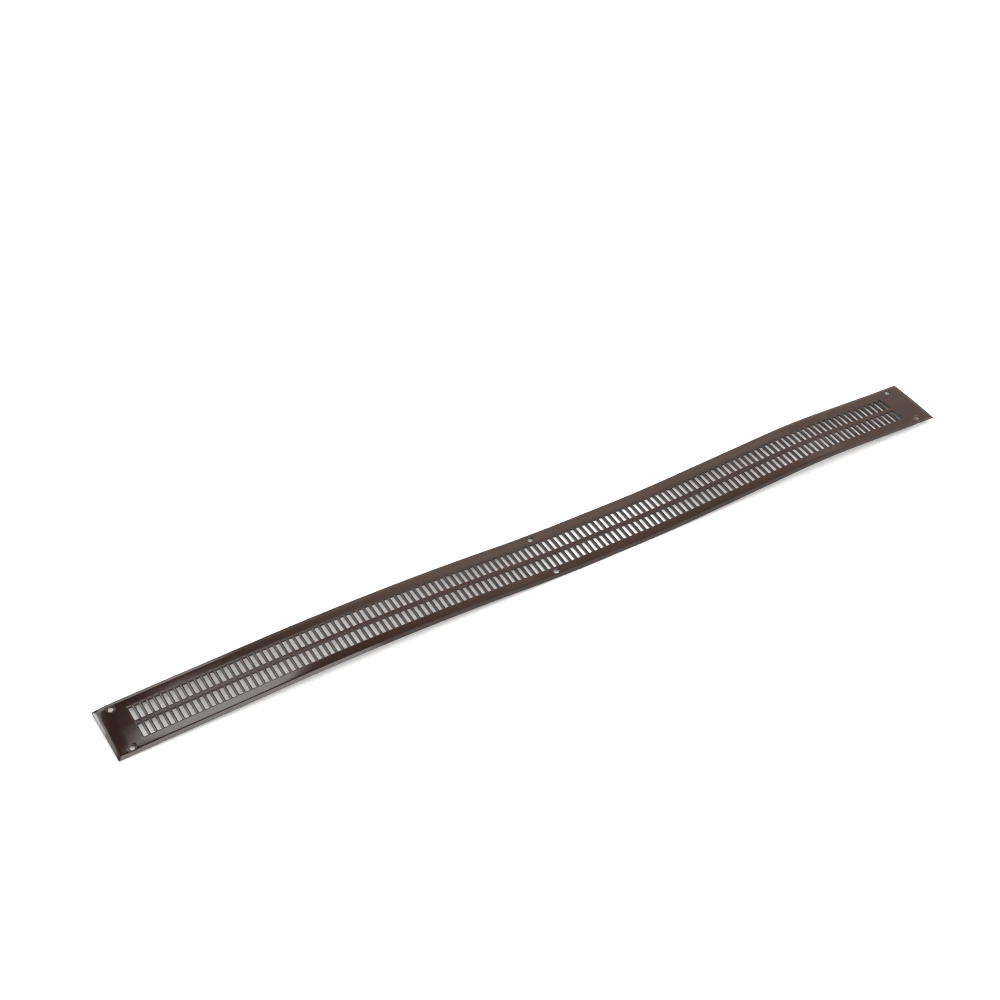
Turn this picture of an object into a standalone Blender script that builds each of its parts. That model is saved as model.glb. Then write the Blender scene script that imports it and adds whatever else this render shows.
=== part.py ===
"""Ventilation grille strip: one sheet pressed with two rows of drawn slots, a turned-down rim and six
dimpled screw holes. It lies loose on a floor, where the thin sheet keeps a gentle bend and a little twist.

The sheet's top face is drawn flat (x along, y across, z up), bent onto its resting line and thickened.
Units are metres, +Z is up, +X runs along the strip, and the origin is under the middle of its box.
"""

from math import cos, radians, sin

import bmesh
import bpy
from mathutils import Matrix, Vector

# Outline of the strip, laid flat.
LENGTH = 1.000
WIDTH = 0.070
SHEET = 0.0008

# Turned-down rim: a shallow slope all the way round.
RIM_WIDTH = 0.0036
RIM_DROP = 0.0012

# Two rows of slots, drawn down so that each has a lip round it.
SLOTS_PER_ROW = 128
SLOT_PITCH = 0.00732
SLOT_WIDTH = 0.0044
SLOT_LENGTH = 0.0180
ROW_GAP = 0.0050
LIP_DEPTH = 0.0030

# Screw holes: four near the corners and two at mid-length, each in a pressed dimple.
HOLE_RADIUS = 0.00275
DIMPLE_RADIUS = 0.0042
DIMPLE_DEPTH = 0.0009
HOLE_FROM_END = 0.0175
HOLE_ACROSS = 0.0271
HOLE_SIDES = 20

# How the loose strip lies: (distance from the left end, slope in degrees there). Between neighbours with
# the same slope it is straight, and between different slopes it is a round arc. The sheet is straight and
# free of twist round the six screw holes.
BENDS = (
    (0.000, 2.5),
    (0.033, 2.5),
    (0.060, 1.8),
    (0.182, 1.8),
    (0.468, -4.0),
    (0.486, -2.0),
    (0.517, -2.0),
    (0.535, -0.2),
    (0.600, -0.2),
    (0.685, 3.2),
    (0.810, 3.2),
    (0.890, -3.0),
    (0.940, -3.0),
    (0.967, -2.4),
    (1.000, -2.4),
)
# Its twist: (distance from the left end, roll in degrees there), with an even change between neighbours.
# A positive roll lifts the +Y edge.
TWISTS = ((0.000, 2.4), (0.033, 2.4), (0.486, 0.5), (0.517, 0.5), (0.967, -2.5), (1.000, -2.5))

# The plain sheet beside the slots needs few cross lines: one for each of this many slots.
SLOTS_PER_STRETCH = 4

SHEET_COLOR = (0.075, 0.052, 0.042, 1.0)


def clear_scene():
    for thing in list(bpy.data.objects):
        bpy.data.objects.remove(thing)


def chord(length, slope, next_slope):
    """From the start to the end of an arc of this length whose slope goes from slope to next_slope."""
    half_turn = (next_slope - slope) / 2
    reach = length * sin(half_turn) / half_turn if abs(half_turn) > 1e-9 else length
    middle = (slope + next_slope) / 2
    return Vector((reach * cos(middle), 0.0, reach * sin(middle)))


def resting_line():
    """The bends as (distance, slope in radians, place), each a step along the one before."""
    start, slope = BENDS[0][0], radians(BENDS[0][1])
    line = [(start, slope, Vector((0.0, 0.0, 0.0)))]
    for end, degrees in BENDS[1:]:
        start, slope, place = line[-1]
        next_slope = radians(degrees)
        line.append((end, next_slope, place + chord(end - start, slope, next_slope)))
    return line


def stretch_at(stations, along):
    """The number of the stretch that holds this distance, and how far along it that is, from 0 to 1."""
    starts = [station[0] for station in stations]
    number = max(i for i in range(len(stations) - 1) if i == 0 or starts[i] <= along)
    return number, (along - starts[number]) / (starts[number + 1] - starts[number])


def roll_at(along):
    number, share = stretch_at(TWISTS, along)
    roll, next_roll = TWISTS[number][1], TWISTS[number + 1][1]
    return radians(roll + share * (next_roll - roll))


def frame_at(line, along):
    """The matrix that carries a cross-section of the flat strip to its place on the resting line."""
    number, share = stretch_at(line, along)
    start, slope, place = line[number]
    here = slope + share * (line[number + 1][1] - slope)
    spot = place + chord(along - start, slope, here)
    roll = Matrix.Rotation(roll_at(along), 4, "X")
    return Matrix.Translation(spot) @ Matrix.Rotation(-here, 4, "Y") @ roll


def slot_centres():
    """Distances along the strip of the slots' centres, the same in both rows."""
    first = (LENGTH - (SLOTS_PER_ROW - 1) * SLOT_PITCH) / 2
    return [first + SLOT_PITCH * number for number in range(SLOTS_PER_ROW)]


def hole_places():
    """Centres of the six screw holes on the flat strip."""
    stations = (HOLE_FROM_END, LENGTH / 2, LENGTH - HOLE_FROM_END)
    return [Vector((x, side * HOLE_ACROSS, 0.0)) for x in stations for side in (-1, 1)]


def rim_height(x, y):
    on_edge = x in (0.0, LENGTH) or abs(y) == WIDTH / 2
    return -RIM_DROP if on_edge else 0.0


def flat_sheet():
    """The top face on a grid whose lines are the rim, its crease and the sides of the slots."""
    inner, outer = ROW_GAP / 2, ROW_GAP / 2 + SLOT_LENGTH
    half = [inner, outer, WIDTH / 2 - RIM_WIDTH, WIDTH / 2]
    across = [-y for y in reversed(half)] + half
    sides = [centre + side * SLOT_WIDTH / 2 for centre in slot_centres() for side in (-1, 1)]
    along = [0.0, RIM_WIDTH, *sides, LENGTH - RIM_WIDTH, LENGTH]
    bm = bmesh.new()
    grid = [[bm.verts.new((x, y, rim_height(x, y))) for y in across] for x in along]
    for column, (left, right) in enumerate(zip(grid, grid[1:])):
        in_slot = 2 <= column < len(grid) - 3 and column % 2 == 0
        for row in range(len(across) - 1):
            if not (in_slot and row in (2, 4)):
                bm.faces.new((left[row], right[row], right[row + 1], left[row + 1]))
    for x, y in ((0, 0), (0, -1), (-1, 0), (-1, -1)):
        mitre = [grid[x][y], grid[1 if x == 0 else -2][1 if y == 0 else -2]]
        bmesh.ops.connect_verts(bm, verts=mitre)
    thin_out_cross_lines(bm, sides)
    return bm


def thin_out_cross_lines(bm, sides):
    """Joins the faces beside the slots, so that they keep one cross line for each stretch of slots."""
    kept = set(sides[SLOTS_PER_STRETCH :: 2 * SLOTS_PER_STRETCH]) | {sides[0], sides[-1]}
    kept = {round(x, 6) for x in kept}
    beside = ROW_GAP / 2 + SLOT_LENGTH

    def is_spare(edge):
        a, b = (vert.co for vert in edge.verts)
        crosses = abs(a.x - b.x) < 1e-7 and sides[0] - 1e-6 < a.x < sides[-1] + 1e-6
        return crosses and abs(a.y + b.y) / 2 > beside and round(a.x, 6) not in kept

    spare = [edge for edge in bm.edges if is_spare(edge)]
    bmesh.ops.dissolve_edges(bm, edges=spare, use_verts=True)


def face_up(bm):
    bm.normal_update()
    bmesh.ops.reverse_faces(bm, faces=[face for face in bm.faces if face.normal.z < 0])


def draw_lips(bm):
    """Turns the sheet down round every slot."""
    slot_edges = [e for e in bm.edges if e.is_boundary and all(v.co.z == 0.0 for v in e.verts)]
    drawn = bmesh.ops.extrude_edge_only(bm, edges=slot_edges)["geom"]
    for vert in drawn:
        if isinstance(vert, bmesh.types.BMVert):
            vert.co.z -= LIP_DEPTH


def press_hole(bm, centre):
    """Swaps the flat face under a screw hole for one with a dimple and the hole at its bottom."""

    def holds_centre(face):
        xs = [vert.co.x for vert in face.verts]
        ys = [vert.co.y for vert in face.verts]
        return min(xs) < centre.x < max(xs) and min(ys) < centre.y < max(ys)

    face = next(f for f in bm.faces if holds_centre(f))
    outline = list(face.edges)
    bmesh.ops.delete(bm, geom=[face], context="FACES_ONLY")
    brim = ring(bm, centre, DIMPLE_RADIUS, 0.0)
    bottom = ring(bm, centre, HOLE_RADIUS, -DIMPLE_DEPTH)
    bmesh.ops.bridge_loops(bm, edges=brim + bottom)
    bmesh.ops.triangle_fill(bm, use_beauty=True, edges=outline + brim)


def ring(bm, centre, radius, height):
    made = bmesh.ops.create_circle(bm, segments=HOLE_SIDES, radius=radius)["verts"]
    bmesh.ops.translate(bm, verts=made, vec=centre + Vector((0.0, 0.0, height)))
    return list({edge for vert in made for edge in vert.link_edges})


def lay_down(bm):
    """Bends the flat sheet onto its resting line."""
    line = resting_line()
    for vert in bm.verts:
        vert.co = frame_at(line, vert.co.x) @ Vector((0.0, vert.co.y, vert.co.z))


def lacquered_sheet():
    material = bpy.data.materials.new("brown_lacquer")
    material.use_nodes = True
    shader = material.node_tree.nodes["Principled BSDF"]
    shader.inputs["Base Color"].default_value = SHEET_COLOR
    shader.inputs["Roughness"].default_value = 0.38
    shader.inputs["Metallic"].default_value = 0.0
    return material


def thicken(strip):
    """The sheet's thickness, all of it behind the top face."""
    solidify = strip.modifiers.new("sheet", "SOLIDIFY")
    solidify.solidify_mode = "NON_MANIFOLD"
    solidify.nonmanifold_thickness_mode = "CONSTRAINTS"
    solidify.thickness = SHEET
    solidify.offset = -1.0
    triangulate = strip.modifiers.new("flat_faces", "TRIANGULATE")
    triangulate.ngon_method = "BEAUTY"


def stand_on_origin(strip):
    """Moves the strip so that the origin is under the middle of its box."""
    graph = bpy.context.evaluated_depsgraph_get()
    points = [vert.co for vert in strip.evaluated_get(graph).data.vertices]
    low = Vector(min(point[axis] for point in points) for axis in range(3))
    high = Vector(max(point[axis] for point in points) for axis in range(3))
    strip.location = (-(low.x + high.x) / 2, -(low.y + high.y) / 2, -low.z)


def build():
    clear_scene()
    bm = flat_sheet()
    for centre in hole_places():
        press_hole(bm, centre)
    face_up(bm)
    draw_lips(bm)
    lay_down(bm)
    mesh = bpy.data.meshes.new("grille_strip")
    bm.to_mesh(mesh)
    bm.free()
    mesh.materials.append(lacquered_sheet())
    strip = bpy.data.objects.new("grille_strip", mesh)
    parts = bpy.data.collections.new("ventilation_grille_strip")
    bpy.context.scene.collection.children.link(parts)
    parts.objects.link(strip)
    thicken(strip)
    stand_on_origin(strip)


build()
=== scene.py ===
"""The looks of the ventilation grille strip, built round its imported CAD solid.

The strip is one pressed sheet, so it is one visible piece: 256 drawn slots with round shoulders, a
turned-down rim and six dimpled screw holes, in brown lacquer. It is drawn flat (x along from the left end,
y across, z up, in metres), bent onto the line that the loose strip rests on, and thickened to a sheet.
The lights stand where the lacquer mirrors them as bright and dark bands along the strip.
"""

from functools import lru_cache
from math import atan, cos, hypot, pi, radians, sin

import bmesh
import bpy
from mathutils import Matrix, Vector


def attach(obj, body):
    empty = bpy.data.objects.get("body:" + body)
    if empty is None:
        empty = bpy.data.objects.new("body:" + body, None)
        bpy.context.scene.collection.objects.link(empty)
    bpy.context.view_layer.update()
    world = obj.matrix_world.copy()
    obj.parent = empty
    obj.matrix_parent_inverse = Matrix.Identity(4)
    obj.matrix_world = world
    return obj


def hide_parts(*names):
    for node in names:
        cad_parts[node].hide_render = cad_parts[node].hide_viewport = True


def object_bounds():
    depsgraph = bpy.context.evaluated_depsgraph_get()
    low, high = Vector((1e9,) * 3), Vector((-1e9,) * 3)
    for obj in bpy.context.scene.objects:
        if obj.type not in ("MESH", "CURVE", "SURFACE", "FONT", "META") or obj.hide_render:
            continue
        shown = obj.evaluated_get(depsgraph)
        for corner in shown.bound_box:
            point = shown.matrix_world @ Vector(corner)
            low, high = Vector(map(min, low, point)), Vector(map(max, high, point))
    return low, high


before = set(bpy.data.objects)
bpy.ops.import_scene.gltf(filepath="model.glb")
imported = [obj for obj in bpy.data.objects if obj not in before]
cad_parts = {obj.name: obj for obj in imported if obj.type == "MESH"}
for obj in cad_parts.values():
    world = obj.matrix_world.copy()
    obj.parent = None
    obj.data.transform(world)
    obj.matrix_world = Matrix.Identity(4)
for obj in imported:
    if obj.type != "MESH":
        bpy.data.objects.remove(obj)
cad_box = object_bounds()

# The strip, as in the CAD.
LENGTH = 1.000
WIDTH = 0.070
SHEET = 0.0008
SLOTS_PER_ROW = 128
SLOT_PITCH = 0.00732
SLOT_WIDTH = 0.0044
SLOT_LENGTH = 0.0180
ROW_GAP = 0.0050
LIP_DEPTH = 0.0030
HOLE_RADIUS = 0.00275
HOLE_FROM_END = 0.0175
HOLE_ACROSS = 0.0271
BENDS = (
    (0.000, 2.5),
    (0.033, 2.5),
    (0.060, 1.8),
    (0.182, 1.8),
    (0.468, -4.0),
    (0.486, -2.0),
    (0.517, -2.0),
    (0.535, -0.2),
    (0.600, -0.2),
    (0.685, 3.2),
    (0.810, 3.2),
    (0.890, -3.0),
    (0.940, -3.0),
    (0.967, -2.4),
    (1.000, -2.4),
)
TWISTS = ((0.000, 2.4), (0.033, 2.4), (0.486, 0.5), (0.517, 0.5), (0.967, -2.5), (1.000, -2.5))

# What only the looks show: the sheet's slight crown, and its rim's slope with a rounded crease.
CROWN_RADIUS = 1.10
CROWN_RISE = 0.0002
RIM_SLOPE = 0.27
RIM_CREASE = 0.0040
RIM_ROUNDING = 0.0011

# Each slot's sloping lead-in, round shoulder and corners, and the flat sheet past the rows.
LEAD_IN_ALONG = 0.00020
LEAD_IN_ACROSS = 0.00050
LEAD_SLOPE = 0.28
LEAD_STEPS = 2
SHOULDER = 0.00095
SHOULDER_STEPS = 5
CORNER = 0.0005
CORNER_STEPS = 4
SLOT_MARGIN = 0.0017

# The dimples, the broken edges, and the far left corner's droop.
DIMPLE_RADIUS = 0.0046
DIMPLE_DEPTH = 0.0009
EDGE_BREAK = 0.00012
DROOP_REACH = 0.018
DROOP = 0.0017

# Lines of the mesh: distances from the sheet's edge, and radii round a screw hole.
RIM_LINES = (0.0, 0.0003, 0.0008, 0.0014, 0.0020, 0.0026, 0.0031, 0.0035, 0.0039, 0.0043, 0.0047, 0.0051)
HOLE_RINGS = (0.00275, 0.0029, 0.0032, 0.0035, 0.0038, 0.0041, 0.0043, 0.0046)
HOLE_PATCH = 0.0065
HOLE_PATCH_EDGE = 0.0013

# The room round the strip: light by direction, as (sine of the height above the horizon, colour).
BACK_WALL = (
    (0.00, (1.00, 0.85, 0.75)),
    (0.40, (1.00, 0.85, 0.75)),
    (0.52, (1.30, 0.98, 0.87)),
    (0.59, (1.10, 0.80, 0.70)),
    (0.64, (2.05, 1.52, 1.32)),
    (0.68, (1.55, 1.14, 1.00)),
    (0.71, (1.10, 0.76, 0.65)),
    (0.77, (0.60, 0.38, 0.31)),
    (0.82, (0.25, 0.20, 0.18)),
    (0.88, (0.22, 0.20, 0.19)),
    (0.95, (0.30, 0.30, 0.30)),
    (1.00, (0.60, 0.60, 0.60)),
)
BACK_DARK = (0.05, 0.05, 0.05)
LEFT_SIDE = (0.5, 0.5, 0.5)
BEHIND_CAMERA = (2.30, 2.28, 2.26)

# Soft boxes: name, place, point faced, size, brightness beside white paper's and roll in degrees.
SOFT_BOXES = (
    ("softbox", (0.0, 1.33, 2.0), (0.0, 1.33, 0.0), (0.36, 0.46), 5.0, -32),
    ("overhead", (0.0, 0.15, 2.0), (0.0, 0.15, 0.0), (0.8, 0.5), 4.2, 0),
    ("window", (-1.335, 2.176, 1.900), (-0.5, 0.0, 0.0), (1.9, 1.2), 2.6, 0),
    ("corner_glow", (-1.76, 1.44, 1.48), (-0.5, 0.0, 0.0), (0.42, 0.30), 9.0, 0),
    ("back_panel", (-0.15, 3.2, 1.55), (-0.4, 0.0, 0.0), (0.9, 1.3), 2.0, 0),
    ("side_panel", (1.35, 0.38, 2.0), (1.35, 0.38, 0.0), (1.8, 0.6), 1.3, 0),
)
FLOOR_REACH = 60.0

TILE_FAR = ROW_GAP / 2 + SLOT_LENGTH + SLOT_MARGIN
FIRST_SLOT = (LENGTH - (SLOTS_PER_ROW - 1) * SLOT_PITCH) / 2
HOLE_STATIONS = (HOLE_FROM_END, LENGTH / 2, LENGTH - HOLE_FROM_END)
HOLES = [(x, side * HOLE_ACROSS) for x in HOLE_STATIONS for side in (-1, 1)]


# ---------------------------------------------------------------- the resting line


def chord(length, slope, next_slope):
    """From the start to the end of an arc of this length whose slope goes from slope to next_slope."""
    half_turn = (next_slope - slope) / 2
    reach = length * sin(half_turn) / half_turn if abs(half_turn) > 1e-9 else length
    middle = (slope + next_slope) / 2
    return Vector((reach * cos(middle), 0.0, reach * sin(middle)))


def resting_line():
    """The bends as (distance, slope in radians, place), each a step along the one before."""
    line = [(BENDS[0][0], radians(BENDS[0][1]), Vector((0.0, 0.0, 0.0)))]
    for end, degrees in BENDS[1:]:
        start, slope, place = line[-1]
        next_slope = radians(degrees)
        line.append((end, next_slope, place + chord(end - start, slope, next_slope)))
    return line


LINE = resting_line()


def stretch_at(stations, along):
    """The number of the stretch that holds this distance, and how far along it that is, from 0 to 1."""
    starts = [station[0] for station in stations]
    number = max(i for i in range(len(stations) - 1) if i == 0 or starts[i] <= along)
    return number, (along - starts[number]) / (starts[number + 1] - starts[number])


@lru_cache(maxsize=None)
def frame_at(along):
    """The matrix that carries a cross-section of the flat strip to its place on the resting line."""
    number, share = stretch_at(LINE, along)
    start, slope, place = LINE[number]
    here = slope + share * (LINE[number + 1][1] - slope)
    spot = place + chord(along - start, slope, here)
    number, share = stretch_at(TWISTS, along)
    roll = radians(TWISTS[number][1] + share * (TWISTS[number + 1][1] - TWISTS[number][1]))
    return Matrix.Translation(spot) @ Matrix.Rotation(-here, 4, "Y") @ Matrix.Rotation(roll, 4, "X")


# ---------------------------------------------------------------- the pressed sheet


def pressed_height(x, y):
    """Height of the top face, away from the slots: crown, rim, dimples and the drooping corner."""
    crown = CROWN_RISE - y * y / (2 * CROWN_RADIUS)
    inside = RIM_CREASE - min(x, LENGTH - x, WIDTH / 2 - abs(y))
    if inside > RIM_ROUNDING:
        rim = inside
    elif inside > -RIM_ROUNDING:
        rim = (inside + RIM_ROUNDING) ** 2 / (4 * RIM_ROUNDING)
    else:
        rim = 0.0
    nearest = min(hypot(x - hole_x, y - hole_y) for hole_x, hole_y in HOLES)
    deep = min(max((DIMPLE_RADIUS - nearest) / (DIMPLE_RADIUS - HOLE_RADIUS), 0.0), 1.0)
    dimple = DIMPLE_DEPTH * smooth(deep)
    droop = DROOP * max(1 - x / DROOP_REACH, 0.0) ** 2 * smooth(0.5 + y / WIDTH)
    return crown - RIM_SLOPE * rim - dimple - droop


def smooth(share):
    return share * share * (3 - 2 * share)


class Sheet:
    """A mesh of the top face, whose neighbouring patches share the points they have in common."""

    def __init__(self):
        self.bm = bmesh.new()
        self.points = {}

    def point(self, x, y, drop=0.0):
        key = (round(x * 1e6), round(y * 1e6), round(drop * 1e6))
        if key not in self.points:
            height = pressed_height(x, y) - drop
            self.points[key] = self.bm.verts.new(frame_at(round(x, 6)) @ Vector((0.0, y, height)))
        return self.points[key]

    def face(self, corners):
        self.bm.faces.new(corners)

    def grid(self, xs, ys, is_open=lambda x, y: False):
        """Four-sided faces between the grid lines, except where is_open says so."""
        for x, next_x in zip(xs, xs[1:]):
            for y, next_y in zip(ys, ys[1:]):
                if not is_open((x + next_x) / 2, (y + next_y) / 2):
                    loop = ((x, y), (next_x, y), (next_x, next_y), (x, next_y))
                    self.face([self.point(*corner) for corner in loop])

    def band(self, outer, inner):
        """Faces between two closed rings of points that run the same way round."""
        for i in range(len(outer)):
            j = (i + 1) % len(outer)
            self.face((outer[i], outer[j], inner[j], inner[i]))


def corner_turns():
    """Angle and quadrant of each point of a ring with four rounded corners."""
    for quadrant in range(4):
        for step in range(CORNER_STEPS + 1):
            yield (quadrant + step / CORNER_STEPS) * pi / 2, quadrant


def rounded_ring(half_x, half_y, corner):
    """Points round a rectangle with round corners, about its own centre."""
    signs = ((1, 1), (-1, 1), (-1, -1), (1, -1))
    for angle, quadrant in corner_turns():
        sign_x, sign_y = signs[quadrant]
        yield (
            sign_x * (half_x - corner) + corner * cos(angle),
            sign_y * (half_y - corner) + corner * sin(angle),
        )


def tile_ring(ring, low, high):
    """The ring's points carried straight out to the sides of the tile round it."""
    for (x, y), (angle, _) in zip(ring, corner_turns()):
        across, along = abs(cos(angle)), abs(sin(angle))
        side_x = high[0] if cos(angle) > 0 else low[0]
        side_y = high[1] if sin(angle) > 0 else low[1]
        if abs(across - along) < 1e-6:
            yield side_x, side_y
        elif across > along:
            yield side_x, y
        else:
            yield x, side_y


def slot_profile():
    """The sheet's way into a slot: distances from the lip along x and across y, and the drop there.

    A sloping lead-in, longest at the slot's ends, turns into a round shoulder and then the straight lip.
    """
    first_turn = atan(LEAD_SLOPE)
    for step in range(LEAD_STEPS):
        left = 1 - step / LEAD_STEPS
        drop = LEAD_SLOPE * LEAD_IN_ACROSS * (1 - left)
        yield SHOULDER + LEAD_IN_ALONG * left, SHOULDER + LEAD_IN_ACROSS * left, drop
    for step in range(SHOULDER_STEPS + 1):
        turn = first_turn + step / SHOULDER_STEPS * (pi / 2 - first_turn)
        out = SHOULDER * (1 - sin(turn)) / (1 - sin(first_turn))
        yield out, out, LEAD_SLOPE * LEAD_IN_ACROSS + SHOULDER * (cos(first_turn) - cos(turn))
    yield 0.0, 0.0, LIP_DEPTH


def slot_ring(out_along, out_across):
    """The ring of points that goes round a slot at these distances from its lip."""
    return list(rounded_ring(SLOT_WIDTH / 2 + out_along, SLOT_LENGTH / 2 + out_across, CORNER + out_along))


def slot_tile(sheet, centre_x, side):
    """One drawn slot in its tile of sheet. side is -1 or 1, for the row."""
    centre_y = side * (ROW_GAP / 2 + SLOT_LENGTH / 2)
    low = (-SLOT_PITCH / 2, min(0.0, side * TILE_FAR) - centre_y)
    high = (SLOT_PITCH / 2, max(0.0, side * TILE_FAR) - centre_y)
    rings = [(slot_ring(along, across), drop) for along, across, drop in slot_profile()]
    rings.insert(0, (list(tile_ring(rings[0][0], low, high)), 0.0))
    made = [[sheet.point(centre_x + x, centre_y + y, drop) for x, y in ring] for ring, drop in rings]
    for outer, inner in zip(made, made[1:]):
        sheet.band(outer, inner)


def tile_lines():
    """Where the sides of one tile have points, from its centre: along x, and across y for one row."""
    ring = slot_ring(SHOULDER + LEAD_IN_ALONG, SHOULDER + LEAD_IN_ACROSS)
    centre_y = ROW_GAP / 2 + SLOT_LENGTH / 2
    sides = list(tile_ring(ring, (-SLOT_PITCH / 2, -centre_y), (SLOT_PITCH / 2, TILE_FAR - centre_y)))
    along = sorted({round(x, 7) for x, y in sides if y > TILE_FAR - centre_y - 1e-6})
    across = sorted({round(y + centre_y, 7) for x, y in sides if x > SLOT_PITCH / 2 - 1e-6})
    return along, across


def spread(low, high, count):
    """Evenly spaced values from low to high, both included, in this many steps."""
    return [low + (high - low) * step / count for step in range(count + 1)]


def merged(*groups):
    return sorted({round(value, 6) for group in groups for value in group})


def hole_patch(sheet, centre, xs, ys):
    """Sheet round a screw hole, from the hole out to the rectangle that these grid lines end at."""
    rim = [(x, ys[0]) for x in xs[:-1]] + [(xs[-1], y) for y in ys[:-1]]
    rim += [(x, ys[-1]) for x in xs[:0:-1]] + [(xs[0], y) for y in ys[:0:-1]]
    first_corner = pi + pi / 4
    turns = [first_corner + 2 * pi * i / len(rim) for i in range(len(rim))]

    def circle(radius):
        return [(centre[0] + radius * cos(turn), centre[1] + radius * sin(turn)) for turn in turns]

    largest = circle(HOLE_RINGS[-1])
    between = [((a + c) / 2, (b + d) / 2) for (a, b), (c, d) in zip(rim, largest)]
    rings = [rim, between] + [circle(radius) for radius in reversed(HOLE_RINGS)]
    made = [[sheet.point(x, y) for x, y in ring] for ring in rings]
    for outer, inner in zip(made, made[1:]):
        sheet.band(outer, inner)


def press_sheet():
    """The whole top face, bent onto the resting line."""
    sheet = Sheet()
    centres = [FIRST_SLOT + SLOT_PITCH * number for number in range(SLOTS_PER_ROW)]
    for centre_x in centres:
        for side in (-1, 1):
            slot_tile(sheet, centre_x, side)
    tile_along, tile_across = tile_lines()
    tiles_start, tiles_end = centres[0] - SLOT_PITCH / 2, centres[-1] + SLOT_PITCH / 2

    patch = spread(HOLE_FROM_END - HOLE_PATCH, HOLE_FROM_END + HOLE_PATCH, 10)
    left = merged(RIM_LINES, spread(RIM_LINES[-1], patch[0], 3), patch, spread(patch[-1], tiles_start, 4))
    right = [round(LENGTH - x, 6) for x in reversed(left)]
    middle = merged([x + centre for x in tile_along for centre in centres])
    along = merged(left, middle, right)

    rim_side = [WIDTH / 2 - line for line in RIM_LINES]
    margin = merged(spread(TILE_FAR, rim_side[-1], 5), rim_side)
    patch_ys = [y for y in margin if y < WIDTH / 2 - HOLE_PATCH_EDGE]
    patches = (
        merged(patch),
        [x for x in along if abs(x - LENGTH / 2) < SLOT_PITCH + 1e-6],
        [round(LENGTH - x, 6) for x in reversed(merged(patch))],
    )

    def in_patch(x, y):
        return abs(y) < patch_ys[-1] and any(xs[0] < x < xs[-1] for xs in patches)

    inner = merged(tile_across, [-y for y in tile_across])
    sheet.grid(left, inner)
    sheet.grid(right, inner)
    for side in (-1, 1):
        ys = margin if side > 0 else [-y for y in reversed(margin)]
        sheet.grid(along, ys, in_patch)
        hole_ys = patch_ys if side > 0 else [-y for y in reversed(patch_ys)]
        for hole_x, xs in zip(HOLE_STATIONS, patches):
            hole_patch(sheet, (hole_x, side * HOLE_ACROSS), xs, hole_ys)
    return sheet.bm


def grille_strip():
    bm = press_sheet()
    mesh = bpy.data.meshes.new("grille_strip_pressed")
    bm.to_mesh(mesh)
    bm.free()
    strip = bpy.data.objects.new("grille_strip_pressed", mesh)
    bpy.context.scene.collection.objects.link(strip)
    thicken = strip.modifiers.new("sheet", "SOLIDIFY")
    thicken.thickness = SHEET
    thicken.offset = -1.0
    thicken.use_even_offset = True
    thicken.use_quality_normals = True
    edges = strip.modifiers.new("broken_edges", "BEVEL")
    edges.width = EDGE_BREAK
    edges.segments = 2
    edges.limit_method = "ANGLE"
    edges.angle_limit = radians(55)
    evaluated = strip.evaluated_get(bpy.context.evaluated_depsgraph_get())
    strip.data = bpy.data.meshes.new_from_object(evaluated)
    strip.modifiers.clear()
    place_on_floor(strip)
    strip.data.shade_smooth()
    strip.data.set_sharp_from_angle(angle=radians(50))
    strip.data.materials.clear()
    strip.data.materials.append(brown_lacquer())
    return strip


def place_on_floor(strip):
    """Moves the mesh so that it lies in the middle of the CAD's box, on the floor."""
    low, high = cad_box
    xs = [vert.co.x for vert in strip.data.vertices]
    ys = [vert.co.y for vert in strip.data.vertices]
    zs = [vert.co.z for vert in strip.data.vertices]
    shift = Vector((
        (low[0] + high[0] - min(xs) - max(xs)) / 2,
        (low[1] + high[1] - min(ys) - max(ys)) / 2,
        low[2] - min(zs),
    ))
    strip.data.transform(Matrix.Translation(shift))


# ---------------------------------------------------------------- materials


def new_material(name):
    material = bpy.data.materials.new(name)
    material.use_nodes = True
    return material, material.node_tree.nodes, material.node_tree.links


def brown_lacquer():
    """Glossy brown stove lacquer with a fine orange peel, faint cloudiness and uneven sheen."""
    material, nodes, links = new_material("brown_lacquer")
    shader = nodes["Principled BSDF"]
    place = nodes.new("ShaderNodeTexCoord")

    cloud = nodes.new("ShaderNodeTexNoise")
    cloud.inputs["Scale"].default_value = 35.0
    cloud.inputs["Detail"].default_value = 3.0
    tint = nodes.new("ShaderNodeValToRGB")
    tint.color_ramp.elements[0].position = 0.30
    tint.color_ramp.elements[0].color = (0.0140, 0.0064, 0.0047, 1.0)
    tint.color_ramp.elements[1].position = 0.75
    tint.color_ramp.elements[1].color = (0.0200, 0.0092, 0.0068, 1.0)
    links.new(place.outputs["Object"], cloud.inputs["Vector"])
    links.new(cloud.outputs["Fac"], tint.inputs["Fac"])
    links.new(tint.outputs["Color"], shader.inputs["Base Color"])

    sheen = nodes.new("ShaderNodeTexNoise")
    sheen.inputs["Scale"].default_value = 90.0
    sheen.inputs["Detail"].default_value = 4.0
    rough = nodes.new("ShaderNodeMapRange")
    rough.inputs["To Min"].default_value = 0.06
    rough.inputs["To Max"].default_value = 0.13
    links.new(place.outputs["Object"], sheen.inputs["Vector"])
    links.new(sheen.outputs["Fac"], rough.inputs["Value"])
    links.new(rough.outputs["Result"], shader.inputs["Roughness"])

    peel = nodes.new("ShaderNodeTexNoise")
    peel.inputs["Scale"].default_value = 900.0
    peel.inputs["Detail"].default_value = 2.0
    bump = nodes.new("ShaderNodeBump")
    bump.inputs["Strength"].default_value = 0.05
    bump.inputs["Distance"].default_value = 0.0002
    links.new(place.outputs["Object"], peel.inputs["Vector"])
    links.new(peel.outputs["Fac"], bump.inputs["Height"])
    links.new(bump.outputs["Normal"], shader.inputs["Normal"])
    shader.inputs["IOR"].default_value = 1.5
    return material


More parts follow.
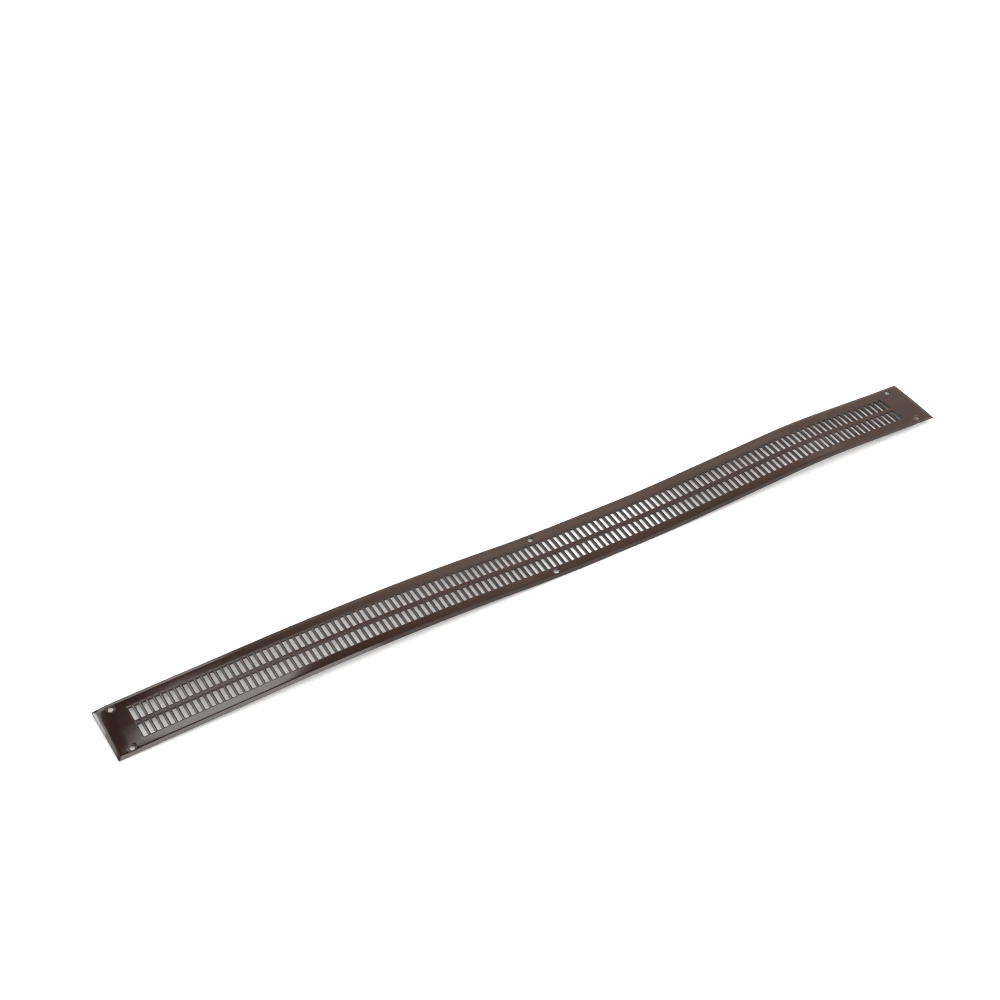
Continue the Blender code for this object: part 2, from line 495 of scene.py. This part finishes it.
def white_paper():
    material, nodes, _ = new_material("white_paper")
    shader = nodes["Principled BSDF"]
    shader.inputs["Base Color"].default_value = (0.90, 0.90, 0.90, 1.0)
    shader.inputs["Roughness"].default_value = 0.9
    shader.inputs["Specular IOR Level"].default_value = 0.2
    return material


# ---------------------------------------------------------------- stage, lights and camera


def lay_floor():
    mesh = bpy.data.meshes.new("floor")
    bm = bmesh.new()
    bmesh.ops.create_grid(bm, x_segments=1, y_segments=1, size=FLOOR_REACH)
    bm.to_mesh(mesh)
    bm.free()
    floor = bpy.data.objects.new("floor", mesh)
    bpy.context.scene.collection.objects.link(floor)
    floor.location.z = cad_box[0][2]
    mesh.materials.append(white_paper())


def aim(thing, place, target, roll=0.0):
    thing.location = place
    look = (Vector(target) - Vector(place)).to_track_quat("-Z", "Y").to_matrix().to_4x4()
    thing.rotation_euler = (look @ Matrix.Rotation(roll, 4, "Z")).to_euler()


def soft_box(name, place, target, size, radiance, roll):
    """A rectangular light, in metres and degrees. The camera doesn't see its face, but reflections do."""
    light = bpy.data.lights.new(name, "AREA")
    light.shape = "RECTANGLE"
    light.size, light.size_y = size
    light.energy = radiance * pi * size[0] * size[1]
    lamp = bpy.data.objects.new(name, light)
    bpy.context.scene.collection.objects.link(lamp)
    aim(lamp, place, target, radians(roll))
    lamp.visible_camera = False


def studio_world():
    """The room as the lacquer mirrors it: a warm wall behind, dark on the left, bright behind the camera."""
    world = bpy.data.worlds.new("studio")
    bpy.context.scene.world = world
    world.use_nodes = True
    nodes, links = world.node_tree.nodes, world.node_tree.links
    place = nodes.new("ShaderNodeTexCoord")
    split = nodes.new("ShaderNodeSeparateXYZ")
    links.new(place.outputs["Generated"], split.inputs["Vector"])

    def share(axis, start, end, most):
        """A share that grows smoothly from 0 to most, as the direction's part along axis goes to end."""
        node = nodes.new("ShaderNodeMapRange")
        node.interpolation_type = "SMOOTHSTEP"
        node.inputs["From Min"].default_value = start
        node.inputs["From Max"].default_value = end
        node.inputs["To Min"].default_value = 0.0
        node.inputs["To Max"].default_value = most
        links.new(split.outputs[axis], node.inputs["Value"])
        return node.outputs["Result"]

    def mixed(factor, first, second):
        node = nodes.new("ShaderNodeMix")
        node.data_type = "RGBA"
        links.new(factor, node.inputs["Factor"])
        links.new(first, node.inputs["A"])
        node.inputs["B"].default_value = (*second, 1.0)
        return node.outputs["Result"]

    wall = nodes.new("ShaderNodeValToRGB")
    links.new(split.outputs["Z"], wall.inputs["Fac"])
    stops = wall.color_ramp.elements
    stops[0].position, stops[0].color = BACK_WALL[0][0], (*BACK_WALL[0][1], 1.0)
    stops[1].position, stops[1].color = BACK_WALL[-1][0], (*BACK_WALL[-1][1], 1.0)
    for height, color in BACK_WALL[1:-1]:
        stops.new(height).color = (*color, 1.0)
    back = mixed(share("X", 0.30, 0.10, 0.85), wall.outputs["Color"], BACK_DARK)
    sides = mixed(share("X", 0.0, -0.2, 1.0), back, LEFT_SIDE)
    around = mixed(share("Y", 0.05, -0.25, 1.0), sides, BEHIND_CAMERA)
    links.new(around, nodes["Background"].inputs["Color"])


def place_camera():
    camera = bpy.data.cameras.new("camera")
    camera.lens = 73.40
    camera.sensor_width = 36.0
    camera.clip_end = 200.0
    eye = bpy.data.objects.new("camera", camera)
    bpy.context.scene.collection.objects.link(eye)
    aim(eye, (-0.8167, -1.3136, 1.5332), (0.0050, 0.1002, 0.0010))
    bpy.context.scene.camera = eye


strip = grille_strip()
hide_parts("grille_strip")
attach(strip, "root")

lay_floor()
studio_world()
for box in SOFT_BOXES:
    soft_box(*box)
place_camera()
bpy.context.scene.view_settings.view_transform = "Standard"
bpy.context.scene.cycles.filter_width = 1.0
